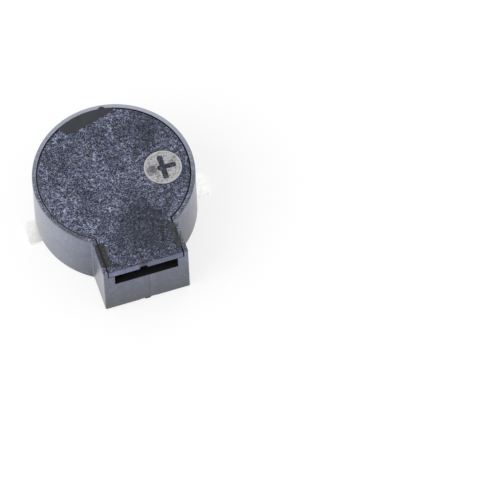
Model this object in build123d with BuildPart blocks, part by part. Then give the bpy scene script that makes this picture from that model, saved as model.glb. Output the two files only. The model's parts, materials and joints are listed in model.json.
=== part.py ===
"""Side-sounding surface-mount magnetic buzzer.

A round moulded case carries two bent terminals in its floor and a magnetic motor on it: yoke plate,
core, coil and ring magnet. A steel membrane with an armature disc lies on a ledge above the motor.
The lid closes the case and leaves a sound channel that opens in the front face of the nozzle.

The origin is on the axis of the round body, in the plane that the solder pads stand on. +Z points up
to the lid, the sound outlet faces -Y, and the positive terminal is on the +X side. Sizes are in mm.
"""

import os
from math import cos, radians, sin

from build123d import *

# Outer form of the case
body_radius = 4.5
nozzle_width = 4.86
nozzle_reach = 5.95  # from the body's axis to the outlet face
nozzle_root_radius = 0.15  # hollow corner between the round wall and the nozzle
nozzle_edge_radius = 0.07  # upright front edges of the nozzle
case_top_bevel = 0.05
case_bottom_bevel = 0.04
pad_standoff = 0.1  # the case stays this far above the board

# Lid and its seat
lid_thickness = 0.5
lid_gap = 0.08  # all round, between the lid and the rim
lid_front_setback = 0.02
lid_edge_radius = 0.06
rim_width = 0.24
rail_width = 0.24  # wall beside the lid's tongue
lid_shoulder = 0.31  # width of the step that carries the lid

# Sound outlet
slot_width = 3.62
slot_height = 0.85
channel_step = 0.21  # from the membrane's ledge up to the floor of the sound channel

# Terminals
terminal_thickness = 0.2
pad_width = 1.45
pad_overhang = 0.7  # from the round wall out to the end of a pad
pad_corner_radius = 0.08
bend_inside_radius = 0.05
riser_distance = 0.22  # from a window out to where the strip turns down
window_depth = 0.44  # from the case's underside up to the terminal's land
window_radius = 0.55
window_angle = 45  # degrees round the axis, from +X; the second window is opposite
land_margin = 0.3  # land left round a window
land_corner_radius = 0.2
floor_skin = 0.1  # plastic over the lands, which keeps the yoke off them
solder_well_radius = 0.62

# Magnetic motor
yoke_thickness = 0.45
yoke_clearance = 0.05
yoke_notch_width = 1.4
yoke_notch_inset = 0.15  # the notches reach this far in past the coil leads
core_radius = 0.9
core_gap = 0.12  # from the core's face up to the membrane
core_bevel = 0.06
magnet_height = 0.8
magnet_wall = 0.9
magnet_inset = 0.05  # from the yoke's rim in to the magnet
magnet_gap = 0.25  # from the magnet up to the membrane
magnet_bevel = 0.06
coil_core_clearance = 0.05
coil_magnet_clearance = 0.3
coil_setback = 0.06  # the coil ends this far below the magnet's top
coil_edge_bevel = 0.08
wire_radius = 0.04
lead_exit_height = 0.12  # above the yoke
lead_out = 0.15  # from the coil out to the lead's drop
lead_run = 0.41  # from the drop out to the middle of the solder joint
lead_bend = 0.06  # cut off each corner of a lead's path
lead_lift = 0.02  # from the land up to the wire
solder_radius = 0.42
solder_height = 0.3

# Membrane and its armature
diaphragm_ledge = 0.45
diaphragm_clearance = 0.05
diaphragm_thickness = 0.05
armature_radius = 1.7
armature_thickness = 0.25

# Marks that moulding leaves, and the seat of the plus sign
case_gate_width = 0.94
case_gate_length = 0.95
case_gate_recess = 0.06
case_gate_corner_radius = 0.3
gate_nub_width = 0.3
gate_nub_length = 0.16
gate_nub_height = 0.11
lid_gate_width = 0.36
lid_gate_depth = 0.1
lid_gate_height = 0.2
mark_radius = 1.07
mark_edge_distance = 0.41  # from the mark out to the lid's edge
mark_y = -0.43
mark_recess = 0.03

# Cured adhesive over the lid's seam
adhesive_height = 0.03
adhesive_seam_depth = 0.3
rear_adhesive_start_angle = 72  # degrees round the axis, from +X
rear_adhesive_end_angle = 118
rear_adhesive_width = 0.72  # from the lid's edge in towards the axis, at its widest
# The smear's inner edge, as shares of its sweep round the lid and of its width
rear_adhesive_edge = [(0.12, 0.4), (0.5, 0.9), (0.85, 1.0), (1.0, 0.7)]
rear_adhesive_drop_angle = 82
rear_adhesive_drop_radius = 0.2
side_adhesive_length = 1.6
side_adhesive_setback = 0.38  # from the outlet face
left_adhesive_width = 0.58
left_adhesive_shift = 0.04  # from the middle of the seam, to +X
right_adhesive_width = 0.34
right_adhesive_shift = -0.08

# Heights above the board
case_bottom = pad_standoff
land_bottom = case_bottom + window_depth
land_top = land_bottom + terminal_thickness
floor_top = land_top + floor_skin
yoke_top = floor_top + yoke_thickness
magnet_top = yoke_top + magnet_height
ledge_top = magnet_top + magnet_gap
core_top = ledge_top - core_gap
channel_floor = ledge_top + channel_step
lid_bottom = channel_floor + slot_height
case_top = lid_bottom + lid_thickness

# Radii and half widths that follow from the sizes above
seat_radius = body_radius - rim_width
lid_radius = seat_radius - lid_gap
upper_bore_radius = seat_radius - lid_shoulder
lower_bore_radius = upper_bore_radius - diaphragm_ledge
tongue_seat_half = nozzle_width / 2 - rail_width
tongue_half = tongue_seat_half - lid_gap
seam_middle = (tongue_seat_half + tongue_half) / 2
yoke_radius = lower_bore_radius - yoke_clearance
magnet_radius = yoke_radius - magnet_inset
magnet_bore = magnet_radius - magnet_wall
coil_radius = magnet_bore - coil_magnet_clearance
lead_drop_radius = coil_radius + lead_out
window_distance = lead_drop_radius + lead_run
window_x = window_distance * cos(radians(window_angle))
window_y = window_distance * sin(radians(window_angle))
land_inner_x = window_x - window_radius - land_margin
pad_inner_x = window_x + window_radius + riser_distance
land_outer_x = pad_inner_x - bend_inside_radius
pad_reach = body_radius + pad_overhang
mark_x = lid_radius - mark_radius - mark_edge_distance
past_outlet = 1.0  # cuts that open in the outlet face run this far past it


def front_strip(half_width, reach):
    """A rectangle from the body's axis to the front, for the nozzle and what lies in it."""
    with Locations((0, -reach / 2)):
        Rectangle(2 * half_width, reach)


def polar_point(radius, angle):
    """A point at this distance and angle from the body's axis."""
    return Vector(radius, 0).rotate(Axis.Z, angle)


# Terminals: a strip bent twice, with its pad under the case and its land in the floor
with BuildPart() as terminal_positive:
    with BuildSketch(Plane.XZ):
        with BuildLine():
            FilletPolyline(
                (pad_reach, terminal_thickness / 2),
                (pad_inner_x + terminal_thickness / 2, terminal_thickness / 2),
                (pad_inner_x + terminal_thickness / 2, land_bottom + terminal_thickness / 2),
                (land_inner_x, land_bottom + terminal_thickness / 2),
                radius=bend_inside_radius + terminal_thickness / 2,
            )
        trace(line_width=terminal_thickness)
    extrude(amount=pad_width / 2, both=True)
    with BuildSketch(Plane.XY.offset(land_bottom)) as land:
        with Locations(((land_inner_x + land_outer_x) / 2, 0)):
            Rectangle(
                land_outer_x - land_inner_x,
                window_y + window_radius + land_margin,
                align=(Align.CENTER, Align.MIN),
            )
        fillet(land.vertices().group_by(Axis.Y)[-1], land_corner_radius)
    extrude(amount=terminal_thickness)
    pad_end = terminal_positive.faces().sort_by(Axis.X)[-1]
    fillet(pad_end.edges().filter_by(Axis.Z), pad_corner_radius)
terminal_positive.part.label = "terminal_positive"

with BuildPart() as terminal_negative:
    add(terminal_positive.part.rotate(Axis.Z, 180))
terminal_negative.part.label = "terminal_negative"


# Case: a stepped cup and its nozzle, moulded round the terminals
with BuildPart() as case:
    with BuildSketch(Plane.XY.offset(case_bottom)) as outline:
        Circle(body_radius)
        front_strip(nozzle_width / 2, nozzle_reach)
        fillet(outline.vertices().group_by(Axis.Y)[1], nozzle_root_radius)
        fillet(outline.vertices().group_by(Axis.Y)[0], nozzle_edge_radius)
    extrude(amount=case_top - case_bottom)
    chamfer(case.faces().sort_by(Axis.Z)[-1].edges(), case_top_bevel)
    chamfer(case.faces().sort_by(Axis.Z)[0].edges(), case_bottom_bevel)

    with BuildSketch(Plane.XY.offset(lid_bottom)):
        Circle(seat_radius)
        front_strip(tongue_seat_half, nozzle_reach + past_outlet)
    extrude(amount=lid_thickness, mode=Mode.SUBTRACT)
    with BuildSketch(Plane.XY.offset(ledge_top)):
        Circle(upper_bore_radius)
    extrude(amount=lid_bottom - ledge_top, mode=Mode.SUBTRACT)
    with BuildSketch(Plane.XY.offset(floor_top)):
        Circle(lower_bore_radius)
    extrude(amount=ledge_top - floor_top, mode=Mode.SUBTRACT)
    with BuildSketch(Plane.XY.offset(channel_floor)):
        front_strip(slot_width / 2, nozzle_reach + past_outlet)
    extrude(amount=slot_height, mode=Mode.SUBTRACT)

    with BuildSketch(Plane.XY.offset(case_bottom)):
        with PolarLocations(window_distance, 2, start_angle=window_angle):
            Circle(window_radius)
    extrude(amount=window_depth, mode=Mode.SUBTRACT)
    with BuildSketch(Plane.XY.offset(land_top)):
        with PolarLocations(window_distance, 2, start_angle=window_angle):
            Circle(solder_well_radius)
    extrude(amount=floor_skin, mode=Mode.SUBTRACT)
    add(terminal_positive.part, mode=Mode.SUBTRACT)
    add(terminal_negative.part, mode=Mode.SUBTRACT)

    with BuildSketch(Plane.XY.offset(case_bottom)) as gate:
        with Locations((0, -nozzle_reach - past_outlet)):
            Rectangle(
                case_gate_width,
                case_gate_length + past_outlet,
                align=(Align.CENTER, Align.MIN),
            )
        fillet(gate.vertices().group_by(Axis.Y)[-1], case_gate_corner_radius)
    extrude(amount=case_gate_recess, mode=Mode.SUBTRACT)
    with BuildSketch(Plane.XY.offset(case_bottom + case_gate_recess)):
        with Locations((0, -nozzle_reach)):
            Rectangle(gate_nub_width, gate_nub_length, align=(Align.CENTER, Align.MIN))
    extrude(amount=-gate_nub_height)
case.part.label = "case"


# Lid: a disc with a tongue that roofs the sound channel
with BuildPart() as lid:
    with BuildSketch(Plane.XY.offset(lid_bottom)):
        Circle(lid_radius)
        front_strip(tongue_half, nozzle_reach - lid_front_setback)
    extrude(amount=lid_thickness)
    fillet(lid.faces().sort_by(Axis.Z)[-1].edges(), lid_edge_radius)
    with BuildSketch(Plane.XY.offset(case_top)):
        with Locations((0, -nozzle_reach)):
            Rectangle(
                lid_gate_width,
                lid_front_setback + lid_gate_depth,
                align=(Align.CENTER, Align.MIN),
            )
    extrude(amount=-lid_gate_height, mode=Mode.SUBTRACT)
    with BuildSketch(Plane.XY.offset(case_top)):
        with Locations((mark_x, mark_y)):
            Circle(mark_radius)
    extrude(amount=-mark_recess, mode=Mode.SUBTRACT)
lid.part.label = "lid"


# Yoke plate: a disc with a hole for the core and two notches for the coil leads
with BuildPart() as yoke_plate:
    with BuildSketch(Plane.XY.offset(floor_top)) as plate:
        Circle(yoke_radius)
        Circle(core_radius, mode=Mode.SUBTRACT)
        notch_start = lead_drop_radius - yoke_notch_inset
        with PolarLocations(notch_start, 2, start_angle=window_angle):
            SlotOverall(
                yoke_radius - notch_start + 2 * yoke_notch_width,
                yoke_notch_width,
                align=(Align.MIN, Align.CENTER),
                mode=Mode.SUBTRACT,
            )
    extrude(amount=yoke_thickness)
yoke_plate.part.label = "yoke_plate"

# Core: a pin pressed through the yoke plate
with BuildPart() as pole_core:
    with BuildSketch(Plane.XY.offset(floor_top)):
        Circle(core_radius)
    extrude(amount=core_top - floor_top)
    chamfer(pole_core.edges().sort_by(Axis.Z)[-1], core_bevel)
pole_core.part.label = "pole_core"

# Ring magnet, on the yoke plate
with BuildPart() as ring_magnet:
    with BuildSketch(Plane.XY.offset(yoke_top)):
        Circle(magnet_radius)
        Circle(magnet_bore, mode=Mode.SUBTRACT)
    extrude(amount=magnet_height)
    chamfer(ring_magnet.edges().group_by(Axis.Z)[-1], magnet_bevel)
    chamfer(ring_magnet.edges().group_by(Axis.Z)[0], magnet_bevel)
ring_magnet.part.label = "ring_magnet"

# Coil: a self-supporting winding round the core
with BuildPart() as coil_winding:
    with BuildSketch(Plane.XY.offset(yoke_top)):
        Circle(coil_radius)
        Circle(core_radius + coil_core_clearance, mode=Mode.SUBTRACT)
    extrude(amount=magnet_height - coil_setback)
    chamfer(coil_winding.edges().filter_by(GeomType.CIRCLE), coil_edge_bevel)
coil_winding.part.label = "coil_winding"


# Coil leads: from the winding out, down through the yoke's notch and along the land
lead_plane = Plane(
    origin=(0, 0, 0),
    x_dir=polar_point(1, window_angle),
    z_dir=polar_point(1, window_angle - 90),
)
with BuildPart() as coil_lead_start:
    with BuildLine(lead_plane) as lead_path:
        Polyline(
            (coil_radius, yoke_top + lead_exit_height),
            (lead_drop_radius, yoke_top + lead_exit_height),
            (lead_drop_radius, land_top + lead_lift + wire_radius),
            (window_distance, land_top + lead_lift + wire_radius),
        )
        outwards = Axis((0, 0, 0), lead_plane.x_dir)
        chamfer(lead_path.vertices().sort_by(outwards)[1:-1], lead_bend)
    with BuildSketch(Plane(lead_path.wires()[0] @ 0, z_dir=lead_path.wires()[0] % 0)):
        Circle(wire_radius)
    sweep(transition=Transition.RIGHT)
coil_lead_start.part.label = "coil_lead_start"

with BuildPart() as coil_lead_end:
    add(coil_lead_start.part.rotate(Axis.Z, 180))
coil_lead_end.part.label = "coil_lead_end"

# Solder joints: a low dome on each land, round the end of a lead
with BuildPart() as solder_joint_positive:
    with BuildSketch(lead_plane):
        with BuildLine():
            dome_middle = (window_distance, land_top)
            dome_foot = (window_distance + solder_radius, land_top)
            dome_peak = (window_distance, land_top + solder_height)
            dome_radius = (solder_radius**2 + solder_height**2) / (2 * solder_height)
            Line(dome_middle, dome_foot)
            RadiusArc(dome_foot, dome_peak, -dome_radius)
            Line(dome_peak, dome_middle)
        make_face()
    dome_axis = Axis(polar_point(window_distance, window_angle), (0, 0, 1))
    revolve(axis=dome_axis)
    add(coil_lead_start.part, mode=Mode.SUBTRACT)
solder_joint_positive.part.label = "solder_joint_positive"

with BuildPart() as solder_joint_negative:
    add(solder_joint_positive.part.rotate(Axis.Z, 180))
solder_joint_negative.part.label = "solder_joint_negative"


# Membrane, on the case's ledge
with BuildPart() as diaphragm:
    with BuildSketch(Plane.XY.offset(ledge_top)):
        Circle(upper_bore_radius - diaphragm_clearance)
    extrude(amount=diaphragm_thickness)
diaphragm.part.label = "diaphragm"

# Armature: the disc welded to the middle of the membrane
with BuildPart() as armature_disc:
    with BuildSketch(Plane.XY.offset(ledge_top + diaphragm_thickness)):
        Circle(armature_radius)
    extrude(amount=armature_thickness)
armature_disc.part.label = "armature_disc"


# Adhesive: smears over the seam, which also fill the gap between lid and case for a short depth
with BuildPart() as lid_adhesive_rear:
    with BuildSketch(Plane.XY.offset(case_top - adhesive_seam_depth)):
        with BuildLine():
            swept = rear_adhesive_end_angle - rear_adhesive_start_angle
            outer = CenterArc((0, 0), seat_radius, rear_adhesive_start_angle, swept)
            inner_points = [
                polar_point(
                    lid_radius - depth * rear_adhesive_width,
                    rear_adhesive_start_angle + turn * swept,
                )
                for turn, depth in rear_adhesive_edge
            ]
            inner = Spline(outer @ 0, *inner_points)
            Line(inner @ 1, outer @ 1)
        make_face()
        with Locations(polar_point(lid_radius, rear_adhesive_drop_angle)):
            Circle(rear_adhesive_drop_radius)
    extrude(amount=adhesive_seam_depth + adhesive_height)
    add(lid.part, mode=Mode.SUBTRACT)
    add(case.part, mode=Mode.SUBTRACT)
lid_adhesive_rear.part.label = "lid_adhesive_rear"


def tongue_adhesive(middle_x, width):
    """Draws the bead along one side of the tongue."""
    with Locations((middle_x, -nozzle_reach + side_adhesive_setback + side_adhesive_length / 2)):
        SlotOverall(side_adhesive_length, width, rotation=90)


with BuildPart() as lid_adhesive_left:
    with BuildSketch(Plane.XY.offset(case_top - adhesive_seam_depth)):
        tongue_adhesive(-seam_middle + left_adhesive_shift, left_adhesive_width)
    extrude(amount=adhesive_seam_depth + adhesive_height)
    add(lid.part, mode=Mode.SUBTRACT)
    add(case.part, mode=Mode.SUBTRACT)
lid_adhesive_left.part.label = "lid_adhesive_left"

with BuildPart() as lid_adhesive_right:
    with BuildSketch(Plane.XY.offset(case_top - adhesive_seam_depth)):
        tongue_adhesive(seam_middle + right_adhesive_shift, right_adhesive_width)
    extrude(amount=adhesive_seam_depth + adhesive_height)
    add(lid.part, mode=Mode.SUBTRACT)
    add(case.part, mode=Mode.SUBTRACT)
lid_adhesive_right.part.label = "lid_adhesive_right"


os.makedirs("parts", exist_ok=True)
export_step(case.part, "parts/case.step")
export_step(lid.part, "parts/lid.step")
export_step(terminal_positive.part, "parts/terminal_positive.step")
export_step(terminal_negative.part, "parts/terminal_negative.step")
export_step(yoke_plate.part, "parts/yoke_plate.step")
export_step(pole_core.part, "parts/pole_core.step")
export_step(ring_magnet.part, "parts/ring_magnet.step")
export_step(coil_winding.part, "parts/coil_winding.step")
export_step(coil_lead_start.part, "parts/coil_lead_start.step")
export_step(coil_lead_end.part, "parts/coil_lead_end.step")
export_step(solder_joint_positive.part, "parts/solder_joint_positive.step")
export_step(solder_joint_negative.part, "parts/solder_joint_negative.step")
export_step(diaphragm.part, "parts/diaphragm.step")
export_step(armature_disc.part, "parts/armature_disc.step")
export_step(lid_adhesive_rear.part, "parts/lid_adhesive_rear.step")
export_step(lid_adhesive_left.part, "parts/lid_adhesive_left.step")
export_step(lid_adhesive_right.part, "parts/lid_adhesive_right.step")
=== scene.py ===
"""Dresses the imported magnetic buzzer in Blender: its moulded housing and lid, tinned terminals, printed
polarity mark, adhesive smears and wound motor, on a white floor.

Pieces are modelled in millimetres, a thousand times their real size, because Blender's bevel loses
sizes of a few micrometres. The last step of each piece brings it to real size, in metres.
"""

import json
from math import acos, cos, pi, radians, sin, sqrt, tan

import bmesh
import bpy
from bpy.props import FloatProperty, FloatVectorProperty, IntProperty, PointerProperty
from mathutils import Matrix, Vector

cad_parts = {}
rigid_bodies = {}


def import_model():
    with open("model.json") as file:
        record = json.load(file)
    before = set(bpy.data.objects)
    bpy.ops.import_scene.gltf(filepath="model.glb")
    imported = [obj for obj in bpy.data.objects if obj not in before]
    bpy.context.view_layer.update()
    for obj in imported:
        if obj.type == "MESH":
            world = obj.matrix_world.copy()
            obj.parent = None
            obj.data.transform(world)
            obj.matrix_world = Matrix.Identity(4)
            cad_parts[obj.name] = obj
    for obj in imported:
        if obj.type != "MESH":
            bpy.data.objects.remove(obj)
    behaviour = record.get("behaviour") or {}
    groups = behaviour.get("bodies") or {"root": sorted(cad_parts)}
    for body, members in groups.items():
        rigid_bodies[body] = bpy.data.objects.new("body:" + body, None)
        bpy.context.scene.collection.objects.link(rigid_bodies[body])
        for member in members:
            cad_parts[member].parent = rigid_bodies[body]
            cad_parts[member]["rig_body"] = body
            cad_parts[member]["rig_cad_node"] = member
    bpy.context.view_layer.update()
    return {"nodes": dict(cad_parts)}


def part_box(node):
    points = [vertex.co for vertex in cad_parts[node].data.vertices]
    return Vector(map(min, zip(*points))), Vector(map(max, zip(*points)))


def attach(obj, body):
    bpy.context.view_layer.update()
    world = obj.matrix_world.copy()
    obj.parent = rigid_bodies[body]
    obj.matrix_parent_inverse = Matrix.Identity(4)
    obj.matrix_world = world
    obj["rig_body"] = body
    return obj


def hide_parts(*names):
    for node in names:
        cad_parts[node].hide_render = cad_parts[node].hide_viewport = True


bl_info = {
    "name": "Magnetic buzzer",
    "version": (1, 0, 0),
    "blender": (4, 5, 0),
    "location": "3D Viewport > Sidebar > Buzzer",
    "description": "Models and stages a surface-mount magnetic buzzer on its packed solids",
    "category": "Object",
}

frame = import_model()

MM = 0.001
TINY = 0.004  # mm, how far from a plane a picked vertex, edge or face may lie
MERGE = 0.0004  # mm, vertices as near as this are one
PAST = 1.0  # mm, how far a cutting tool reaches past what it cuts
ALONG = 0.9  # a direction runs along an axis when its share of it is larger than this
SHARP = radians(32)  # edges with a larger angle stay sharp in the shading
EASED = radians(40)  # edges with a larger angle are rounded off on a copied solid
FLAT = radians(1)  # faces with a smaller angle between them are one
ROUND_STEPS = 256  # sides of the body's circles
SMALL_ROUND_STEPS = 96
# Steps of a bevel, from the finest edge to the widest corner
FINE, SMALL, MEDIUM, WIDE = 2, 3, 4, 6


def in_mm(node):
    """The lowest and highest corner of a solid, in millimetres."""
    low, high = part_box(node)
    return low / MM, high / MM


case_low, case_high = in_mm("case")
lid_low, lid_high = in_mm("lid")


def linear(hex_colour):
    """Turns an sRGB hex colour into the linear red, green, blue and alpha that Blender takes."""
    digits = hex_colour.lstrip("#")
    colour = []
    for start in (0, 2, 4):
        value = int(digits[start : start + 2], 16) / 255
        colour.append(value / 12.92 if value <= 0.04045 else ((value + 0.055) / 1.055) ** 2.4)
    return (*colour, 1.0)


def length(name, description, default):
    """A size in millimetres that the sidebar shows."""
    return FloatProperty(name=name, description=description, default=default, min=0, precision=3)


def number(name, description, default):
    """A plain number that the sidebar shows."""
    return FloatProperty(name=name, description=description, default=default)


def angle(name, description, degrees):
    """An angle that the sidebar shows."""
    return FloatProperty(name=name, description=description, default=radians(degrees), unit="ROTATION")


def colour(name, description, hex_colour):
    """A colour that the sidebar shows, given as sRGB hex."""
    return FloatVectorProperty(
        name=name, description=description, subtype="COLOR", size=4, min=0, max=1,
        default=linear(hex_colour),
    )


class HousingSizes(bpy.types.PropertyGroup):
    """Sizes of the moulded case, in millimetres."""

    nozzle_width: length("Nozzle width", "Width of the block with the sound outlet", 4.86)
    rim: length("Rim", "Wall left round the lid", 0.24)
    root_radius: length("Root radius", "Hollow corner between the round wall and the nozzle", 0.15)
    edge_radius: length("Edge radius", "Upright front edges of the nozzle", 0.07)
    top_bevel: length("Top bevel", "Outer top edge", 0.05)
    seat_bevel: length("Seat bevel", "Inner top edge, beside the lid", 0.018)
    bottom_bevel: length("Bottom bevel", "Outer bottom edge", 0.04)
    lid_shoulder: length("Lid shoulder", "Width of the step under the lid", 0.31)
    ledge: length("Membrane ledge", "Width of the step under the membrane", 0.45)
    slot_width: length("Slot width", "Width of the sound outlet", 3.62)
    slot_height: length("Slot height", "Height of the sound outlet", 0.85)
    bottom: length("Bottom", "Height of the underside above the board", 0.1)
    window_radius: length("Window radius", "Round windows under the solder joints", 0.55)
    well_radius: length("Well radius", "Round wells over the solder joints", 0.62)
    gate_width: length("Gate width", "Recess round the moulding gate", 0.94)
    gate_length: length("Gate length", "Length of that recess", 0.95)
    gate_corner: length("Gate corner", "Rounding of that recess", 0.3)
    gate_recess: length("Gate recess", "Depth of that recess", 0.06)
    nub_width: length("Nub width", "Broken-off gate", 0.3)
    nub_length: length("Nub length", "Broken-off gate", 0.16)


class LidSizes(bpy.types.PropertyGroup):
    """Sizes of the lid, in millimetres."""

    edge_radius: length("Edge radius", "Rounding of the lid's top edge", 0.035)
    gap: length("Gap", "Seam between the lid and the rim", 0.06)
    gate_width: length("Gate width", "Notch where the gate was broken off", 0.44)
    gate_x: number("Gate place", "Left to right, in mm", -0.13)
    gate_depth: length("Gate depth", "How far the notch reaches in", 0.1)
    gate_height: length("Gate height", "How far the notch reaches up", 0.24)
    gate_corner: length("Gate corner", "Rounding of the notch's top", 0.144)
    mark_radius: length("Mark radius", "Round recess under the printed mark", 1.07)
    mark_edge: length("Mark edge", "From the recess out to the lid's edge", 0.41)
    mark_y: number("Mark place", "Front to back, in mm", -0.43)
    mark_recess: length("Mark recess", "Depth of the recess", 0.03)


class MarkSizes(bpy.types.PropertyGroup):
    """Sizes of the printed plus sign, in millimetres."""

    margin: length("Margin", "Bare ring round the ink", 0.02)
    ink_height: length("Ink height", "Thickness of the ink film", 0.018)
    arm_length: length("Arm length", "Length of each bar of the plus", 1.5)
    arm_width: length("Arm width", "Width of each bar of the plus", 0.31)
    arm_end: length("Arm end", "Rounding of the ends of the plus", 0.093)
    turn: angle("Turn", "How far the plus is turned", -1)
    worn: length("Worn spot", "From the middle of the plus out to the worn spot of its left arm", 0.558)


class AdhesiveSizes(bpy.types.PropertyGroup):
    """Sizes of the cured adhesive, in millimetres."""

    edge: length("Edge", "Rounding of the smear's top edge", 0.024)


class TerminalSizes(bpy.types.PropertyGroup):
    """Sizes of the terminals, in millimetres."""

    edge: length("Edge", "Rounding of the stamped edges", 0.02)


class MotorSizes(bpy.types.PropertyGroup):
    """Sizes of the magnetic motor, in millimetres."""

    edge: length("Edge", "Rounding of the steel parts and the magnet", 0.02)
    clearance: length("Clearance", "Between the core and the winding", 0.05)
    wire: length("Wire", "Enamelled wire, outside diameter", 0.06)


class Colours(bpy.types.PropertyGroup):
    """Colours of the finishes."""

    resin_dark: colour("Resin, dark", "Smooth hollows of the moulded grain", "#070916")
    resin: colour("Resin", "Body of the moulded plastic", "#2E3550")
    resin_light: colour("Resin, light", "Frosted specks of the moulded grain", "#ACB3CA")
    resin_wall: colour("Resin, walls", "Even polished walls", "#494E64")
    # Painted highlight on the rim's top towards the rear, and painted light on the left walls
    resin_painted_highlight: colour("Resin, rim", "Pale burnished side of the rim", "#A4AABA")
    # Painted shade in the channel, the bores, the gate recess and under the lid
    resin_shade_painted: colour("Resin, inside", "Unlit bare resin in the channel and the bores", "#0C0D11")
    adhesive: colour("Adhesive", "Cured adhesive over dark plastic", "#34353C")
    adhesive_seam: colour("Adhesive seam", "Adhesive where the seam shows through", "#0D0E11")
    ink: colour("Ink", "Pad-printed mark", "#AAA8A8")
    ink_worn: colour("Worn ink", "Specks where the ink is thin", "#5E5F66")
    tin: colour("Tin", "Matt tin plating", "#FFFFFD")
    tin_dull: colour("Dull tin", "Handled spots of the plating", "#F5F4F0")
    steel: colour("Steel", "Zinc-plated soft steel", "#B9BCC0")
    nickel: colour("Nickel", "Nickel plating of the magnet", "#C8C3BA")
    copper: colour("Copper", "Copper under clear enamel", "#D9824A")
    solder: colour("Solder", "Bright solder", "#D6D6D4")
    membrane: colour("Membrane", "Rolled nickel-iron foil", "#A9A9AB")


class StageSettings(bpy.types.PropertyGroup):
    """The photograph's view, and the light."""

    azimuth: angle("Azimuth", "Round the object, from the front", -13.78)
    elevation: angle("Elevation", "Above the floor", 59.53)
    roll: angle("Roll", "Tilt of the picture", -4.05)
    distance: number("Distance", "From the lens to the body, in metres", 0.47619)
    scale: number("Scale", "Pixels of the photograph to a millimetre", 18.0804)
    centre_x: number("Centre, across", "The body's middle, in pixels of the photograph", 116.094)
    centre_y: number("Centre, down", "The body's middle, in pixels of the photograph", 208.939)
    picture: IntProperty(name="Picture", description="Sides of the photograph in pixels", default=488)
    sky: number("Sky", "Strength of the white surroundings as a light", 0.7)
    key: number("Key light", "Irradiance of the large soft lamp", 0.46)
    key_angle: angle("Key size", "How wide the lamp looks from the object", 60)
    board: number("Board", "Share of the light that the floor throws back", 0.8)
    board_seen: number("Board, seen", "The same as the camera sees it, where its glow is added", 0.3)
    glow: number("Glow", "Strength of the floor's own white", 0.74)


def deselect_all():
    """Leaves edit mode and clears the selection, so that an operator acts on the new piece alone."""
    if bpy.context.object and bpy.context.object.mode != "OBJECT":
        bpy.ops.object.mode_set(mode="OBJECT")
    bpy.ops.object.select_all(action="DESELECT")


def activate(piece):
    """Selects one piece alone."""
    deselect_all()
    piece.select_set(True)
    bpy.context.view_layer.objects.active = piece


def open_piece(name):
    """Names the primitive just added, puts its place in its mesh and opens it in edit mode."""
    piece = bpy.context.object
    piece.name = name
    bpy.ops.object.transform_apply(location=True, rotation=True, scale=True)
    bpy.ops.object.mode_set(mode="EDIT")
    return piece


def choose(piece, kind, test):
    """In edit mode, selects what passes a test on its middle and its direction or normal."""
    bpy.ops.mesh.select_mode(type=kind)
    bpy.ops.mesh.select_all(action="DESELECT")
    mesh = bmesh.from_edit_mesh(piece.data)
    mesh.normal_update()
    if kind == "VERT":
        for vertex in mesh.verts:
            vertex.select = test(vertex.co, vertex.normal)
    elif kind == "EDGE":
        for edge in mesh.edges:
            start, end = (vertex.co for vertex in edge.verts)
            edge.select = test((start + end) / 2, (end - start).normalized())
    else:
        for face in mesh.faces:
            face.select = test(face.calc_center_median(), face.normal)
    mesh.select_flush_mode()
    bmesh.update_edit_mesh(piece.data)


def extrude_selected(x=0.0, y=0.0, z=0.0):
    """Extrudes what is selected in edit mode."""
    bpy.ops.mesh.extrude_region_move(TRANSFORM_OT_translate={"value": (x, y, z)})


def bevel(width, steps):
    """Rounds off the edges that are selected in edit mode."""
    bpy.ops.mesh.bevel(offset=width, segments=steps, affect="EDGES")


def close_up():
    """Turns every face of an edited piece outwards and leaves edit mode."""
    bpy.ops.mesh.select_all(action="SELECT")
    bpy.ops.mesh.normals_make_consistent(inside=False)
    bpy.ops.object.mode_set(mode="OBJECT")


def add_keyhole(name, radius, half_width, reach, low, high, root_radius=0.0, edge_radius=0.0):
    """A disc with a straight tongue to the front, as a closed block between two heights."""
    deselect_all()
    bpy.ops.mesh.primitive_circle_add(vertices=ROUND_STEPS, radius=radius, location=(0, 0, low))
    piece = open_piece(name)
    corner_y = -sqrt(radius**2 - half_width**2)
    # The circle opens a little wider than the tongue, to leave room for the hollow corners
    open_half = half_width + 1.5 * root_radius + TINY
    choose(piece, "VERT", lambda at, normal: at.y < 0 and abs(at.x) < open_half)
    bpy.ops.mesh.delete(type="VERT")
    for side in (-1, 1):
        mesh = bmesh.from_edit_mesh(piece.data)
        end = min((v.co.copy() for v in mesh.verts if v.co.x * side > 0), key=lambda at: at.y)
        choose(piece, "VERT", lambda at, normal: (at - end).length < TINY)
        extrude_selected(x=side * half_width - end.x, y=corner_y - end.y)
        extrude_selected(y=-reach - corner_y)
    choose(piece, "VERT", lambda at, normal: at.y < -reach + TINY)
    bpy.ops.mesh.edge_face_add()
    bpy.ops.mesh.select_all(action="SELECT")
    bpy.ops.mesh.edge_face_add()
    extrude_selected(z=high - low)
    bpy.ops.mesh.select_all(action="SELECT")
    bpy.ops.mesh.normals_make_consistent(inside=False)
    if root_radius:
        opening = acos(-half_width / radius)
        root = Vector((half_width, corner_y))
        choose(
            piece, "EDGE",
            lambda at, way: abs(way.z) > ALONG and (Vector((abs(at.x), at.y)) - root).length < TINY,
        )
        bevel(root_radius / tan(opening / 2), WIDE)
    if edge_radius:
        choose(piece, "EDGE", lambda at, way: abs(way.z) > ALONG and at.y < -reach + TINY)
        bevel(edge_radius, MEDIUM)
    bpy.ops.object.mode_set(mode="OBJECT")
    return piece


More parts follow.
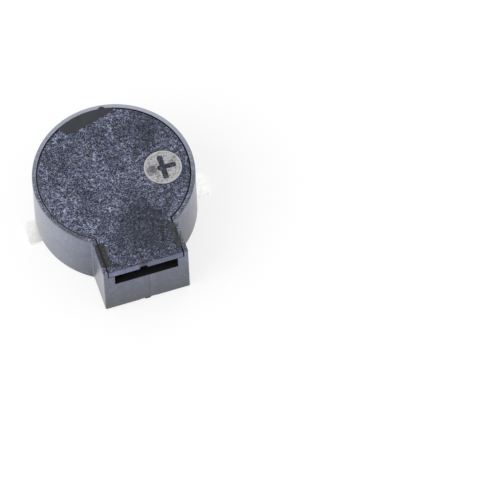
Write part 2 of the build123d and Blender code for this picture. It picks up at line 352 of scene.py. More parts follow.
def add_disc(name, radius, low, high, at=(0.0, 0.0), steps=ROUND_STEPS):
    """A closed upright cylinder between two heights."""
    deselect_all()
    bpy.ops.mesh.primitive_cylinder_add(
        vertices=steps, radius=radius, depth=high - low, location=(*at, (low + high) / 2),
    )
    piece = open_piece(name)
    bpy.ops.object.mode_set(mode="OBJECT")
    return piece


def add_block(name, low, high):
    """A closed block between two corners."""
    deselect_all()
    low, high = Vector(low), Vector(high)
    bpy.ops.mesh.primitive_cube_add(size=1, location=(low + high) / 2, scale=high - low)
    piece = open_piece(name)
    bpy.ops.object.mode_set(mode="OBJECT")
    return piece


def combine(piece, tool, operation):
    """Cuts a tool out of a piece, or adds it, and deletes the tool."""
    activate(piece)
    bpy.ops.object.modifier_add(type="BOOLEAN")
    modifier = piece.modifiers[-1]
    modifier.operation = operation
    modifier.solver = "EXACT"
    modifier.object = tool
    bpy.ops.object.modifier_apply(modifier=modifier.name)
    bpy.data.objects.remove(tool)


def cut(piece, tool):
    """Cuts a tool out of a piece."""
    combine(piece, tool, "DIFFERENCE")


def copy_of_solid(node, name):
    """A copy of a solid's mesh, merged, in millimetres."""
    piece = frame["nodes"][node].copy()
    piece.data = frame["nodes"][node].data.copy()
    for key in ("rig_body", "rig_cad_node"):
        del piece[key]
    piece.parent = None
    piece.name = name
    bpy.context.scene.collection.objects.link(piece)
    piece.data.transform(Matrix.Scale(1 / MM, 4))
    activate(piece)
    bpy.ops.object.mode_set(mode="EDIT")
    bpy.ops.mesh.select_all(action="SELECT")
    bpy.ops.mesh.remove_doubles(threshold=MERGE)
    bpy.ops.mesh.dissolve_limited(angle_limit=FLAT)
    bpy.ops.object.mode_set(mode="OBJECT")
    return piece


def add_winding(name, inner, outer, low, high, wire):
    """A wound ring, closed, with a ridge to each turn of its wire on its outside and its top."""
    deselect_all()
    bpy.ops.mesh.primitive_circle_add(vertices=SMALL_ROUND_STEPS, radius=inner, location=(0, 0, low))
    piece = open_piece(name)
    groove = wire / 3  # how deep the ridges are
    rows = round((high - low) / wire)
    layers = round((outer - inner) / wire)
    row = (high - low - groove) / rows
    layer = (outer - groove - inner) / layers
    profile = [(outer - groove, low)]
    for turn in range(rows):
        profile.append((outer, low + (turn + 0.5) * row))
        profile.append((outer - groove, low + (turn + 1) * row))
    for turn in range(layers):
        profile.append((outer - groove - (turn + 0.5) * layer, high))
        profile.append((outer - groove - (turn + 1) * layer, high - groove))
    bpy.ops.mesh.select_all(action="SELECT")
    radius, height = inner, low
    for next_radius, next_height in profile:
        extrude_selected(z=next_height - height)
        share = next_radius / radius
        bpy.ops.transform.resize(value=(share, share, 1), center_override=(0, 0, 0))
        radius, height = next_radius, next_height
    choose(piece, "EDGE", lambda at, way: Vector((at.x, at.y)).length < inner + TINY)
    bpy.ops.mesh.bridge_edge_loops()
    close_up()
    return piece


def eased_copy(node, name, edge):
    """A copy of a solid with its sharp edges rounded off."""
    piece = copy_of_solid(node, name)
    bpy.ops.object.mode_set(mode="EDIT")
    bpy.ops.mesh.select_mode(type="EDGE")
    bpy.ops.mesh.select_all(action="DESELECT")
    bpy.ops.mesh.edges_select_sharp(sharpness=EASED)
    bevel(edge, FINE)
    close_up()
    return piece


def finish_piece(piece, finish, slot, *nodes):
    """Brings a piece to real size, gives it its finish, and puts it in the place of its solids."""
    activate(piece)
    bpy.ops.object.mode_set(mode="EDIT")
    bpy.ops.mesh.select_mode(type="EDGE")
    bpy.ops.mesh.select_all(action="DESELECT")
    bpy.ops.mesh.edges_select_sharp(sharpness=SHARP)
    bpy.ops.mesh.mark_sharp()
    bpy.ops.object.mode_set(mode="OBJECT")
    bpy.ops.object.shade_smooth(keep_sharp_edges=True)
    # The large faces set the shading, so that it bends only over the narrow bevels
    bpy.ops.object.modifier_add(type="WEIGHTED_NORMAL")
    modifier = piece.modifiers[-1]
    modifier.keep_sharp = True
    bpy.ops.object.modifier_apply(modifier=modifier.name)
    piece.scale = (MM, MM, MM)
    bpy.ops.object.transform_apply(location=True, rotation=True, scale=True)
    piece.data.materials.clear()
    piece.data.materials.append(finish)
    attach(piece, "root")
    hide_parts(*nodes)


def paint_faces(piece, finish, test):
    """Gives a finish to the faces of a finished piece whose middle, in mm, and normal pass a test."""
    piece.data.materials.append(finish)
    last = len(piece.data.materials) - 1
    for face in piece.data.polygons:
        if test(face.center / MM, face.normal):
            face.material_index = last


def feed(tree, node, inputs):
    """Gives a node its inputs: each is a value, or another node's output to link."""
    for socket, value in inputs.items():
        if isinstance(value, bpy.types.NodeSocket):
            tree.links.new(value, node.inputs[socket])
        else:
            node.inputs[socket].default_value = value


def add_node(tree, kind, inputs=None, **settings):
    """Adds a node with its settings and its inputs. The stops of a ramp are one of the settings."""
    node = tree.nodes.new(kind)
    for name, value in settings.items():
        if name == "stops":
            elements = node.color_ramp.elements
            while len(elements) < len(value):
                elements.new(1.0)
            for element, (place, tone) in zip(elements, value):
                element.position = place
                element.color = tone
        else:
            setattr(node, name, value)
    feed(tree, node, inputs or {})
    return node


def new_material(name):
    """A new node material: its tree, its shader and the outputs of its texture coordinates."""
    material = bpy.data.materials.new(name)
    material.use_nodes = True
    tree = material.node_tree
    tree.nodes.clear()
    shader = add_node(tree, "ShaderNodeBsdfPrincipled")
    add_node(tree, "ShaderNodeOutputMaterial", {"Surface": shader.outputs["BSDF"]})
    place = add_node(tree, "ShaderNodeTexCoord")
    return material, tree, shader, place.outputs


def per_mm(size):
    """The scale of a pattern whose features are this many millimetres."""
    return 1 / (size * MM)


def grey(value):
    """A neutral linear colour."""
    return (value, value, value, 1.0)


def noise(tree, spot, size, **inputs):
    """Noise from 0 to 1, with features of a size in mm."""
    inputs = {"Vector": spot, "Scale": per_mm(size), **inputs}
    return add_node(tree, "ShaderNodeTexNoise", inputs).outputs["Fac"]


def drawn_noise(tree, spot, sizes, **inputs):
    """Noise from 0 to 1, with features of a size in mm of its own along each axis."""
    scale = tuple(per_mm(size) for size in sizes)
    drawn = add_node(tree, "ShaderNodeMapping", {"Vector": spot, "Scale": scale}).outputs["Vector"]
    return add_node(tree, "ShaderNodeTexNoise", {"Vector": drawn, "Scale": 1.0, **inputs}).outputs["Fac"]


def remap(tree, value, low, high, start=0.0, end=1.0):
    """Spreads a value from one range over another, and holds it at both ends."""
    inputs = {"Value": value, "From Min": low, "From Max": high, "To Min": start, "To Max": end}
    return add_node(tree, "ShaderNodeMapRange", inputs).outputs["Result"]


def calculate(tree, operation, first, second=0.0):
    """One step of arithmetic on two values."""
    return add_node(tree, "ShaderNodeMath", {0: first, 1: second}, operation=operation).outputs["Value"]


def vector_value(tree, operation, first, second=(0, 0, 0)):
    """The one value that an operation takes from two vectors."""
    node = add_node(tree, "ShaderNodeVectorMath", {0: first, 1: second}, operation=operation)
    return node.outputs["Value"]


def axes(tree, vector):
    """The X, Y and Z of a vector."""
    return add_node(tree, "ShaderNodeSeparateXYZ", {"Vector": vector}).outputs


def ramp(tree, value, *stops):
    """Turns a value into a colour between stops, each a value and its colour."""
    return add_node(tree, "ShaderNodeValToRGB", {"Fac": value}, stops=stops).outputs["Color"]


def mix(tree, share, first, second, blend="MIX"):
    """Mixes a share of a second colour into a first."""
    node = add_node(
        tree, "ShaderNodeMix", {"Factor": share, "A": first, "B": second},
        data_type="RGBA", blend_type=blend,
    )
    return node.outputs["Result"]


def relief(tree, height, depth, strength, **inputs):
    """The normal of a surface that a pattern raises by a depth in mm."""
    inputs = {"Height": height, "Distance": depth * MM, "Strength": strength, **inputs}
    return add_node(tree, "ShaderNodeBump", inputs).outputs["Normal"]


def seen_rays(tree):
    """Is 1 for the camera's rays and for those that mirrors and glass send on, and 0 for light."""
    rays = add_node(tree, "ShaderNodeLightPath")
    seen = rays.outputs["Is Camera Ray"]
    for kind in ("Is Glossy Ray", "Is Transmission Ray"):
        seen = calculate(tree, "MAXIMUM", seen, rays.outputs[kind])
    return seen


def moulded_resin(name, colours, specular, painted_light_above, flow_marks_and_shade):
    """Black-navy glass-filled liquid crystal polymer, injection moulded.

    The mould is spark-eroded above and below, so that those faces are mottled with fine frosted
    specks, and polished round the walls, which are softly clouded.
    """
    material, tree, shader, place = new_material(name)
    spot = place["Object"]
    at = axes(tree, spot)
    upward = axes(tree, place["Normal"])["Z"]
    is_face = remap(tree, calculate(tree, "ABSOLUTE", upward), low=0.75, high=0.97)

    swirl = noise(tree, spot, size=0.16, Detail=2.0, Roughness=0.6, Distortion=1.1)
    specks = noise(tree, spot, size=0.095, Detail=1.0, Roughness=0.5, Distortion=2.2)
    patches = noise(tree, spot, size=1.7, Detail=4.0, Roughness=0.6)
    patch_tone = remap(tree, patches, low=0.32, high=0.68, start=0.6, end=1.14)
    grain = calculate(tree, "MULTIPLY", remap(tree, swirl, low=0.4, high=0.68), patch_tone)
    ground = ramp(
        tree, grain, (0.0, colours.resin_dark), (0.5, colours.resin), (1.0, colours.resin_light),
    )
    # The navy turns a little greener and redder from place to place
    tint_place = noise(tree, spot, size=1.1, Detail=2.0)
    tint = ramp(
        tree, tint_place, (0.36, linear("#FFF1FF")), (0.5, grey(1.0)), (0.64, linear("#E8F6FC")),
    )
    ground = mix(tree, 1.0, ground, tint, "MULTIPLY")
    speck_share = calculate(tree, "MULTIPLY", remap(tree, specks, low=0.545, high=0.68), patch_tone)
    mottled = mix(tree, speck_share, ground, colours.resin_light)

    # Soft clouds, drawn out a little along the wall's height
    clouds = drawn_noise(tree, spot, sizes=(0.5, 0.5, 0.6), Detail=5.0, Roughness=0.78)
    wall = ramp(
        tree, clouds,
        (0.34, linear("#3F4457")), (0.5, colours.resin_wall), (0.68, linear("#5F647B")),
    )
    # Painted light: the walls are painted brighter towards the top, and dimmer again just under the top
    # edge
    painted_wall_light = remap(tree, at["Z"], low=0.6 * MM, high=3.4 * MM, start=0.62, end=painted_light_above)
    arris_low = (case_high.z - 0.09) * MM
    arris_high = (case_high.z - 0.03) * MM
    painted_edge_dimming = remap(tree, at["Z"], low=arris_low, high=arris_high, start=1.0, end=0.62)
    painted_wall_light = calculate(tree, "MULTIPLY", painted_wall_light, painted_edge_dimming)
    wall = add_node(tree, "ShaderNodeVectorMath", {0: wall, "Scale": painted_wall_light}, operation="SCALE")
    # Painted light: the walls are painted paler towards the left
    painted_left_light = remap(tree, at["X"], low=-2.6 * MM, high=-3.8 * MM, end=0.27)
    wall = mix(tree, painted_left_light, wall.outputs["Vector"], colours.resin_painted_highlight)
    tone = mix(tree, is_face, wall, mottled)

    # Painted highlight: the rim's top is painted paler towards the rear: how far round to that side a
    # point lies
    highlight_turn = radians(72)
    highlight_way = Vector((cos(highlight_turn), sin(highlight_turn), 0)) / case_high.y / MM
    painted_rim_highlight = remap(tree, vector_value(tree, "DOT_PRODUCT", spot, highlight_way), low=-0.35, high=1.0)
    in_plan = add_node(tree, "ShaderNodeVectorMath", {0: spot, 1: (1, 1, 0)}, operation="MULTIPLY")
    reach = vector_value(tree, "LENGTH", in_plan.outputs["Vector"])
    rim_start = (lid_high.y + 0.04) * MM
    rim_full = (lid_high.y + 0.06) * MM
    painted_rim_highlight = calculate(tree, "MULTIPLY", painted_rim_highlight, remap(tree, reach, low=rim_start, high=rim_full))
    painted_rim_highlight = calculate(tree, "MULTIPLY", painted_rim_highlight, remap(tree, upward, low=0.2, high=0.5))
    tone = mix(tree, painted_rim_highlight, tone, colours.resin_painted_highlight)

    # Dark marks, each with a middle, half sizes and a depth: where the plastic ran in from its gate, and
    # painted shade in and round the lid's mark recess
    for middle, half_size, depth in flow_marks_and_shade:
        mark_place = add_node(
            tree, "ShaderNodeMapping",
            {"Vector": spot, "Location": middle * MM, "Scale": half_size * MM}, vector_type="TEXTURE",
        )
        mark_reach = vector_value(tree, "LENGTH", mark_place.outputs["Vector"])
        mark_share = remap(tree, mark_reach, low=0.35, high=1.1, start=depth, end=0.0)
        tone = mix(tree, mark_share, tone, colours.resin_dark)

    face_height = calculate(tree, "MULTIPLY", grain, is_face)
    face_relief = relief(tree, face_height, depth=0.02, strength=0.8)
    feed(tree, shader, {
        "Base Color": tone,
        "Roughness": remap(tree, is_face, low=0.0, high=1.0, start=0.24, end=0.48),
        "Normal": relief(tree, clouds, depth=0.004, strength=0.5, Normal=face_relief),
        "IOR": 1.6,
        "Specular IOR Level": specular,
    })
    return material


def painted_shade_resin(colours):
    """Painted shade: the same resin, painted almost black with a low gloss, for the shade inside the
    hollows.
    """
    material, tree, shader, place = new_material("resin_in_painted_shade")
    clouds = noise(tree, place["Object"], size=0.3, Detail=3.0)
    tone = ramp(tree, clouds, (0.35, colours.resin_shade_painted), (0.8, linear("#1A1C22")))
    feed(tree, shader, {"Base Color": tone, "Roughness": 0.5})
    return material


def cured_adhesive(colours, seam):
    """Clear epoxy, smeared and cured. It wets the grain, so the plastic under it looks smooth and dark."""
    material, tree, shader, place = new_material("cured_adhesive")
    spot = place["Object"]
    at = axes(tree, spot)
    cloud = noise(tree, spot, size=0.9, Detail=2.0, Roughness=0.5)
    specks = noise(tree, spot, size=0.12, Detail=1.0, Distortion=1.5)
    even = remap(tree, cloud, low=0.0, high=1.0, start=0.4, end=0.6)
    grain = remap(tree, specks, low=0.38, high=0.62, start=0.2, end=0.85)
    # The smear behind the lid is thicker and hides the grain; the thin bands beside the tongue don't
    thin = remap(tree, at["Y"], low=-1.0 * MM, high=1.0 * MM, start=0.75, end=0.0)
    blend = add_node(tree, "ShaderNodeMix", {"Factor": thin, "A": even, "B": grain}).outputs["Result"]
    tone = ramp(
        tree, blend, (0.3, linear("#26272C")), (0.5, colours.adhesive), (0.72, linear("#4A4A4C")),
    )
    # The seam at the tongue's left shows through as a dark line
    off_seam = calculate(tree, "SUBTRACT", at["X"], -seam * MM)
    seam_distance = calculate(tree, "ABSOLUTE", off_seam)
    seam_share = remap(tree, seam_distance, low=0.03 * MM, high=0.11 * MM, start=1.0, end=0.0)
    feed(tree, shader, {
        "Base Color": mix(tree, seam_share, tone, colours.adhesive_seam),
        "Roughness": 0.34,
        "Normal": relief(tree, cloud, depth=0.01, strength=0.4),
        "Specular IOR Level": 0.3,
    })
    return material


def printed_ink(colours, middle, radius, worn_at):
    """Pale pad-printing ink: a thin film, worn to specks over one arm, with a painted highlight round its
    edge.
    """
    material, tree, shader, place = new_material("pad_printed_ink")
    spot = place["Object"]
    specks = noise(tree, spot, size=0.11, Detail=2.0, Roughness=0.6, Distortion=0.7)
    wear_reach = vector_value(tree, "DISTANCE", spot, worn_at * MM)
    wear = remap(tree, wear_reach, low=0.1 * MM, high=0.4 * MM, start=-0.24, end=0.0)
    thickness = calculate(tree, "ADD", specks, wear)
    tone = ramp(
        tree, thickness, (0.34, colours.ink_worn), (0.48, colours.ink), (0.64, linear("#BDBCBE")),
    )
    # Painted highlight: the ink is painted paler towards its edge
    reach = vector_value(tree, "DISTANCE", spot, middle * MM)
    edge = remap(tree, reach, low=(radius - 0.09) * MM, high=(radius - 0.02) * MM)
    feed(tree, shader, {
        "Base Color": mix(tree, edge, tone, linear("#C6C7CC")),
        "Roughness": 0.6,
        "Normal": relief(tree, thickness, depth=0.01, strength=0.7),
    })
    return material


def metal(name, bright, dull, roughness, grain, depth=0.002, drawn=(1, 1, 1), coat=0.0):
    """A plated, rolled or drawn metal: two tones of it in a grain of a size in mm, drawn out along
    some axes, with a relief of a depth in mm, under a share of clear enamel.
    """
    material, tree, shader, place = new_material(name)
    sizes = tuple(grain * times for times in drawn)
    clouds = drawn_noise(tree, place["Object"], sizes, Detail=4.0, Roughness=0.6)
    feed(tree, shader, {
        "Base Color": ramp(tree, clouds, (0.33, dull), (0.55, bright)),
        "Metallic": 1.0,
        "Roughness": remap(tree, clouds, low=0.0, high=1.0, start=roughness * 1.3, end=roughness * 0.7),
        "Normal": relief(tree, clouds, depth=depth, strength=0.5),
        "Coat Weight": coat,
    })
    return material


def dress(node, finish):
    """Gives a carried-over solid its finish."""
    data = frame["nodes"][node].data
    data.materials.clear()
    data.materials.append(finish)


class BuzzerOperator(bpy.types.Operator):
    """What the piece operators share."""

    bl_options = {"REGISTER", "UNDO"}


class BUZZER_OT_housing(BuzzerOperator):
    """Models the case: outer block, lid seat, stepped bores, sound channel, windows and gate."""

    bl_idname = "buzzer.housing"
    bl_label = "Housing"

    def execute(self, context):
        sizes = context.scene.buzzer_housing
        radius = case_high.y
        reach = -case_low.y
        top = case_high.z
        half = sizes.nozzle_width / 2
        housing = add_keyhole(
            "housing", radius, half, reach, sizes.bottom, top, sizes.root_radius, sizes.edge_radius,
        )
        activate(housing)
        bpy.ops.object.mode_set(mode="EDIT")
        choose(housing, "EDGE", lambda at, way: at.z > top - TINY)
        bevel(sizes.top_bevel, SMALL)
        choose(housing, "EDGE", lambda at, way: at.z < sizes.bottom + TINY)
        bevel(sizes.bottom_bevel, FINE)
        close_up()

        seat_floor = lid_low.z
        seat_radius = radius - sizes.rim
        seat_half = half - sizes.rim
        cut(housing, add_keyhole("seat", seat_radius, seat_half, reach + PAST, seat_floor, top + PAST))
        ledge = in_mm("diaphragm")[0].z
        floor = in_mm("yoke_plate")[0].z
        upper_bore = seat_radius - sizes.lid_shoulder
        cut(housing, add_disc("upper_bore", upper_bore, ledge, seat_floor + PAST))
        cut(housing, add_disc("lower_bore", upper_bore - sizes.ledge, floor, ledge + TINY))
        channel_floor = seat_floor - sizes.slot_height
        cut(housing, add_block(
            "channel",
            (-sizes.slot_width / 2, -reach - PAST, channel_floor),
            (sizes.slot_width / 2, 0, seat_floor + PAST),
        ))
        solder_low, solder_high = in_mm("solder_joint_positive")
        middle = (solder_low + solder_high) / 2
        land_top = solder_low.z
        for side in (-1, 1):
            at = (side * middle.x, side * middle.y)
            for name, hole_radius, low, high in (
                ("window", sizes.window_radius, -PAST, land_top - TINY),
                ("well", sizes.well_radius, land_top, floor + TINY),
            ):
                cut(housing, add_disc(name, hole_radius, low, high, at, SMALL_ROUND_STEPS))
        for node in ("terminal_positive", "terminal_negative"):
            cut(housing, copy_of_solid(node, "pocket"))
        gate_top = sizes.bottom + sizes.gate_recess
        gate = add_block(
            "gate", (-sizes.gate_width / 2, -reach - PAST, sizes.bottom - PAST),
            (sizes.gate_width / 2, -reach + sizes.gate_length, gate_top),
        )
        activate(gate)
        bpy.ops.object.mode_set(mode="EDIT")
        choose(gate, "EDGE", lambda at, way: abs(way.z) > ALONG and at.y > -reach)
        bevel(sizes.gate_corner, WIDE)
        bpy.ops.object.mode_set(mode="OBJECT")
        cut(housing, gate)
        activate(housing)
        bpy.ops.object.mode_set(mode="EDIT")
        inner = seat_radius + TINY * 4
        choose(
            housing, "EDGE",
            lambda at, way: at.z > top - TINY and (
                Vector((at.x, at.y)).length < inner or abs(abs(at.x) - seat_half) < TINY
            ),
        )
        bevel(sizes.seat_bevel, FINE)
        bpy.ops.object.mode_set(mode="OBJECT")
        nub = add_block(
            "nub", (-sizes.nub_width / 2, -reach, case_low.z),
            (sizes.nub_width / 2, -reach + sizes.nub_length, gate_top + TINY),
        )
        combine(housing, nub, "UNION")
        colours = context.scene.buzzer_colours
        # The gate's own mark, low on the nozzle's front, and a faint line above it
        gate_marks = [
            (Vector((0.08, -reach, 0.1)), Vector((0.34, 0.5, 0.3)), 0.95),
            (Vector((0.12, -reach, 1.2)), Vector((0.1, 0.4, 1.6)), 0.5),
        ]
        # Painted light: the case's walls are painted up to 1.5 times brighter towards the top
        resin = moulded_resin(
            "glass_filled_lcp_case", colours, specular=0.6, painted_light_above=1.5, flow_marks_and_shade=gate_marks,
        )
        finish_piece(housing, resin, "case_plastic", "case")

        # Painted shade on the faces inside the cup, the nozzle and the gate recess
        def is_in_painted_shade(at, normal):
            in_cup = Vector((at.x, at.y)).length < seat_radius + TINY
            in_nozzle = abs(at.x) < seat_half + TINY and -reach + TINY < at.y < 0
            is_hollow = (in_cup or in_nozzle) and land_top - TINY < at.z < top - 2 * sizes.seat_bevel
            by_gate = abs(at.x) < sizes.gate_width / 2 + TINY and at.y < sizes.gate_length + TINY - reach
            in_gate = by_gate and at.z < gate_top + 2 * TINY and abs(at.z - sizes.bottom) > TINY
            return is_hollow or in_gate

        paint_faces(housing, painted_shade_resin(colours), is_in_painted_shade)
        return {"FINISHED"}


class BUZZER_OT_lid(BuzzerOperator):
    """Models the lid: a disc with a tongue, its gate notch and the recess of the polarity mark."""

    bl_idname = "buzzer.lid"
    bl_label = "Lid"

    def execute(self, context):
        sizes = context.scene.buzzer_lid
        housing = context.scene.buzzer_housing
        half = housing.nozzle_width / 2 - housing.rim - sizes.gap
        seat_radius = case_high.y - housing.rim
        top = lid_high.z
        front = lid_low.y
        lid = add_keyhole("cover", seat_radius - sizes.gap, half, -front, lid_low.z, top)
        activate(lid)
        bpy.ops.object.mode_set(mode="EDIT")
        choose(lid, "EDGE", lambda at, way: at.z > top - TINY)
        bevel(sizes.edge_radius, MEDIUM)
        close_up()
        gate_x = sizes.gate_x
        notch = add_block(
            "gate", (gate_x - sizes.gate_width / 2, front - PAST, lid_low.z - PAST),
            (gate_x + sizes.gate_width / 2, front + sizes.gate_depth, lid_low.z + sizes.gate_height),
        )
        bpy.ops.object.mode_set(mode="EDIT")
        choose(notch, "EDGE", lambda at, way: abs(way.y) > ALONG and at.z > lid_low.z)
        bevel(sizes.gate_corner, MEDIUM)
        bpy.ops.object.mode_set(mode="OBJECT")
        cut(lid, notch)
        mark_at = (lid_high.x - sizes.mark_radius - sizes.mark_edge, sizes.mark_y)
        recess_low = top - sizes.mark_recess
        cut(lid, add_disc("recess", sizes.mark_radius, recess_low, top + PAST, mark_at, SMALL_ROUND_STEPS))
        colours = context.scene.buzzer_colours
        flow_marks_and_shade = [
            (Vector((0.9, -4.0, top)), Vector((1.7, 2.7, 5.0)), 0.62),
            (Vector((3.2, 2.6, top)), Vector((2.4, 2.4, 5.0)), 0.3),
            (Vector((gate_x, front, top)), Vector((0.3, 0.75, 1.0)), 0.6),
            # Painted shade: darkens the floor of the mark's recess, seen through the plus, and a ring
            # round it
            (Vector((*mark_at, top)), Vector((1.25, 1.25, 1.0)), 0.7),
        ]
        # Painted light: the lid's edge is painted up to 2.2 times brighter towards the top
        resin = moulded_resin(
            "glass_filled_lcp_lid", colours, specular=0.25, painted_light_above=2.2, flow_marks_and_shade=flow_marks_and_shade,
        )
        finish_piece(lid, resin, "lid_plastic", "lid")

        # Painted shade under the lid and in its gate notch
        def is_lid_in_painted_shade(at, normal):
            under = at.z < lid_low.z + TINY
            across_gate = abs(at.x - gate_x) < sizes.gate_width / 2 + TINY
            in_gate = across_gate and front + TINY < at.y < front + 2 * sizes.gate_depth
            return under or (in_gate and at.z < lid_low.z + sizes.gate_height + TINY)

        paint_faces(lid, painted_shade_resin(colours), is_lid_in_painted_shade)
        return {"FINISHED"}


class BUZZER_OT_mark(BuzzerOperator):
    """Models the polarity mark: a disc of ink in the lid's recess, with a plus left bare in it."""

    bl_idname = "buzzer.mark"
    bl_label = "Polarity mark"

    def execute(self, context):
        lid = context.scene.buzzer_lid
        sizes = context.scene.buzzer_mark
        at = Vector((lid_high.x - lid.mark_radius - lid.mark_edge, lid.mark_y))
        low = lid_high.z - lid.mark_recess
        high = low + sizes.ink_height
        ink = add_disc("polarity_mark", lid.mark_radius - sizes.margin, low, high, at, SMALL_ROUND_STEPS)
        half = sizes.arm_length / 2
        # The arm to the left is all but filled in with ink
        half_width = sizes.arm_width / 2
        for turn, start in ((0, -sizes.arm_width), (pi / 2, -half)):
            bar = add_block("bar", (start, -half_width, low - PAST), (half, half_width, high + PAST))
            bpy.ops.object.mode_set(mode="EDIT")
            choose(bar, "EDGE", lambda at, way: abs(way.z) > ALONG)
            bevel(sizes.arm_end, SMALL)
            bpy.ops.object.mode_set(mode="OBJECT")
            bar.rotation_euler.z = sizes.turn + turn
            bar.location = (*at, 0)
            activate(bar)
            bpy.ops.object.transform_apply(location=True, rotation=True, scale=True)
            cut(ink, bar)
        middle = Vector((*at, high))
        worn_at = middle - sizes.worn * Vector((cos(sizes.turn), sin(sizes.turn), 0))
        radius = lid.mark_radius - sizes.margin
        finish = printed_ink(context.scene.buzzer_colours, middle, radius, worn_at)
        finish_piece(ink, finish, None)
        return {"FINISHED"}


class BUZZER_OT_adhesive(BuzzerOperator):
    """Models the cured adhesive: one smear behind the lid and one along each side of the tongue."""

    bl_idname = "buzzer.adhesive"
    bl_label = "Adhesive"

    def execute(self, context):
        sizes = context.scene.buzzer_adhesive
        housing = context.scene.buzzer_housing
        seam = housing.nozzle_width / 2 - housing.rim - context.scene.buzzer_lid.gap / 2
        finish = cured_adhesive(context.scene.buzzer_colours, seam)
        for side in ("rear", "left", "right"):
            node = f"lid_adhesive_{side}"
            smear = copy_of_solid(node, f"adhesive_{side}")
            top = in_mm(node)[1].z
            bpy.ops.object.mode_set(mode="EDIT")
            choose(smear, "EDGE", lambda at, way: at.z > top - TINY)
            bevel(sizes.edge, SMALL)
            close_up()
            finish_piece(smear, finish, "adhesive", node)
        return {"FINISHED"}


class BUZZER_OT_terminals(BuzzerOperator):
    """Eases the edges of the two bent terminals and gives them their tin plating."""

    bl_idname = "buzzer.terminals"
    bl_label = "Terminals"

    def execute(self, context):
        colours = context.scene.buzzer_colours
        # Matt tin over phosphor bronze, rolled along the strip
        tin = metal(
            "matt_tin_plate", colours.tin, colours.tin_dull, roughness=0.3, grain=0.3, depth=0.001,
        )
        edge = context.scene.buzzer_terminals.edge
        for pole in ("positive", "negative"):
            node = f"terminal_{pole}"
            finish_piece(eased_copy(node, f"strip_{pole}", edge), tin, "tinned_strip", node)
        return {"FINISHED"}


class BUZZER_OT_motor(BuzzerOperator):
    """Models the winding, eases the steel parts' edges, and gives the motor its finishes."""

    bl_idname = "buzzer.motor"
    bl_label = "Magnetic motor"

    def execute(self, context):
        colours = context.scene.buzzer_colours
        sizes = context.scene.buzzer_motor
        # Soft iron, zinc plated and passivated: pale, faintly cloudy
        steel = metal("zinc_plated_iron", colours.steel, linear("#8E9296"), roughness=0.3, grain=0.3)
        # Sintered magnet under nickel plating: warmer and smoother
        nickel = metal("nickel_plate", colours.nickel, linear("#A19C93"), roughness=0.22, grain=0.2)
        # Enamelled copper wire: orange with a clear gloss
        copper = metal(
            "enamelled_copper", colours.copper, linear("#B4602F"), roughness=0.25, grain=0.08,
            drawn=(1, 1, 0.125), coat=1.0,
        )
        # Solder, flowed and set: bright with a soft skin
        solder = metal("flowed_solder", colours.solder, linear("#AEB0B0"), roughness=0.18, grain=0.15)
        # Cold-rolled foil: fine parallel roll lines
        foil = metal(
            "rolled_foil", colours.membrane, linear("#8A8A8E"), roughness=0.28, grain=0.05,
            drawn=(20, 1, 1),
        )
        for node, finish, slot in (
            ("yoke_plate", steel, "soft_steel"), ("pole_core", steel, "soft_steel"),
            ("armature_disc", steel, "soft_steel"), ("ring_magnet", nickel, "plated_magnet"),
        ):
            finish_piece(eased_copy(node, f"turned_{node}", sizes.edge), finish, slot, node)
        low, high = in_mm("coil_winding")
        bore = in_mm("pole_core")[1].x + sizes.clearance
        coil = add_winding("wound_coil", bore, high.x, low.z, high.z, sizes.wire)
        finish_piece(coil, copper, "enamelled_copper", "coil_winding")
        for pole in ("positive", "negative"):
            node = f"solder_joint_{pole}"
            finish_piece(copy_of_solid(node, f"solder_dome_{pole}"), solder, "solder", node)
        for node, finish in (
            ("coil_lead_start", copper), ("coil_lead_end", copper), ("diaphragm", foil),
        ):
            dress(node, finish)
        return {"FINISHED"}


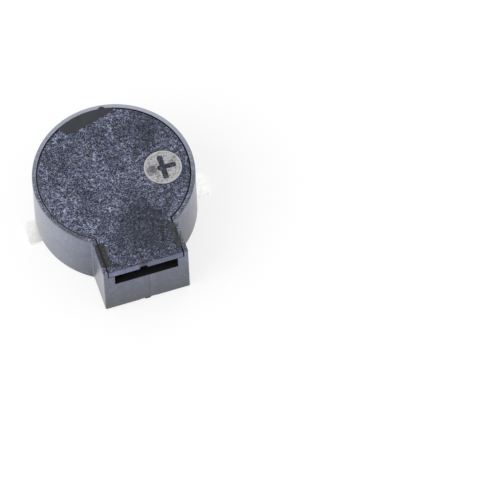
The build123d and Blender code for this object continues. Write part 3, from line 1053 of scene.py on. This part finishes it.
class BUZZER_OT_stage(BuzzerOperator):
    """Sets the white floor, the soft light and the photograph's camera."""

    bl_idname = "buzzer.stage"
    bl_label = "Stage"

    def execute(self, context):
        settings = context.scene.buzzer_stage
        deselect_all()
        bpy.ops.mesh.primitive_plane_add(size=2)
        floor = bpy.context.object
        floor.name = "floor"
        # Matt white board. The camera and the reflections see it white, with the object's shadow
        board = bpy.data.materials.new("matt_white_board")
        board.use_nodes = True
        tree = board.node_tree
        tree.nodes.clear()
        matt = add_node(tree, "ShaderNodeBsdfDiffuse", {"Color": grey(settings.board)})
        pale = add_node(tree, "ShaderNodeBsdfDiffuse", {"Color": grey(settings.board_seen)})
        glow = add_node(tree, "ShaderNodeEmission", {"Color": grey(1.0), "Strength": settings.glow})
        white = add_node(
            tree, "ShaderNodeAddShader", {0: pale.outputs["BSDF"], 1: glow.outputs["Emission"]},
        )
        surface = add_node(
            tree, "ShaderNodeMixShader",
            {"Fac": seen_rays(tree), 1: matt.outputs["BSDF"], 2: white.outputs["Shader"]},
        )
        add_node(tree, "ShaderNodeOutputMaterial", {"Surface": surface.outputs["Shader"]})
        floor.data.materials.append(board)

        world = bpy.data.worlds.new("white_surroundings")
        context.scene.world = world
        world.use_nodes = True
        tree = world.node_tree
        tree.nodes.clear()
        lighting = add_node(tree, "ShaderNodeBackground", {"Color": grey(1.0), "Strength": settings.sky})
        backdrop = add_node(tree, "ShaderNodeBackground", {"Color": grey(1.0), "Strength": 1.0})
        mixed = add_node(
            tree, "ShaderNodeMixShader",
            {"Fac": seen_rays(tree), 1: lighting.outputs["Background"], 2: backdrop.outputs["Background"]},
        )
        add_node(tree, "ShaderNodeOutputWorld", {"Surface": mixed.outputs["Shader"]})

        bpy.ops.object.light_add(type="SUN")
        key = bpy.context.object
        key.name = "key"
        key.data.energy = settings.key * pi
        key.data.angle = settings.key_angle
        light_way = Vector((0.84, 0.14, -0.52))
        key.rotation_euler = light_way.to_track_quat("-Z", "Y").to_euler()

        azimuth, elevation, roll = settings.azimuth, settings.elevation, settings.roll
        back = Vector((sin(azimuth) * cos(elevation), -cos(azimuth) * cos(elevation), sin(elevation)))
        level = Vector((cos(azimuth), sin(azimuth), 0))
        rise = back.cross(level)
        right = cos(roll) * level + sin(roll) * rise
        up = cos(roll) * rise - sin(roll) * level
        turn = Matrix((right, up, back)).transposed()
        focal = settings.scale * settings.distance / MM
        offset = Vector((
            (settings.centre_x - settings.picture / 2) / focal,
            (settings.picture / 2 - settings.centre_y) / focal,
            -1,
        ))
        aim = offset.rotation_difference(Vector((0, 0, -1))).to_matrix()
        bpy.ops.object.camera_add()
        camera = bpy.context.object
        camera.name = "photograph_camera"
        underside = Vector((0, 0, context.scene.buzzer_housing.bottom * MM))
        lens_place = Matrix.Translation(underside + back * settings.distance)
        camera.matrix_world = lens_place @ (turn @ aim).to_4x4()
        camera.data.sensor_width = 36
        camera.data.lens = focal * camera.data.sensor_width / settings.picture
        camera.data.clip_start = 0.001
        camera.data.clip_end = 100
        context.scene.camera = camera
        context.scene.view_settings.view_transform = "Standard"
        return {"FINISHED"}


OPERATORS = (
    BUZZER_OT_housing, BUZZER_OT_lid, BUZZER_OT_mark, BUZZER_OT_adhesive, BUZZER_OT_terminals,
    BUZZER_OT_motor, BUZZER_OT_stage,
)


class BUZZER_PT_panel(bpy.types.Panel):
    """Lists the buzzer's pieces and sizes in the sidebar."""

    bl_idname = "BUZZER_PT_panel"
    bl_label = "Magnetic buzzer"
    bl_space_type = "VIEW_3D"
    bl_region_type = "UI"
    bl_category = "Buzzer"

    def draw(self, context):
        for operator in OPERATORS:
            self.layout.operator(operator.bl_idname)
        for name in SETTINGS:
            box = self.layout.box()
            group = getattr(context.scene, name)
            box.label(text=type(group).__name__)
            for setting in group.bl_rna.properties.keys():
                if setting not in ("rna_type", "name"):
                    box.prop(group, setting)


SETTINGS = {
    "buzzer_housing": HousingSizes,
    "buzzer_lid": LidSizes,
    "buzzer_mark": MarkSizes,
    "buzzer_adhesive": AdhesiveSizes,
    "buzzer_terminals": TerminalSizes,
    "buzzer_motor": MotorSizes,
    "buzzer_colours": Colours,
    "buzzer_stage": StageSettings,
}


def register():
    """Registers the settings, the operators and the panel."""
    for name, group in SETTINGS.items():
        bpy.utils.register_class(group)
        setattr(bpy.types.Scene, name, PointerProperty(type=group))
    for operator in OPERATORS:
        bpy.utils.register_class(operator)
    bpy.utils.register_class(BUZZER_PT_panel)


def unregister():
    """Takes them out again."""
    bpy.utils.unregister_class(BUZZER_PT_panel)
    for operator in reversed(OPERATORS):
        bpy.utils.unregister_class(operator)
    for name, group in SETTINGS.items():
        delattr(bpy.types.Scene, name)
        bpy.utils.unregister_class(group)


def main():
    """Builds every piece and sets the stage."""
    register()
    bpy.ops.buzzer.housing()
    bpy.ops.buzzer.lid()
    bpy.ops.buzzer.mark()
    bpy.ops.buzzer.adhesive()
    bpy.ops.buzzer.terminals()
    bpy.ops.buzzer.motor()
    bpy.ops.buzzer.stage()


if __name__ == "__main__":
    main()
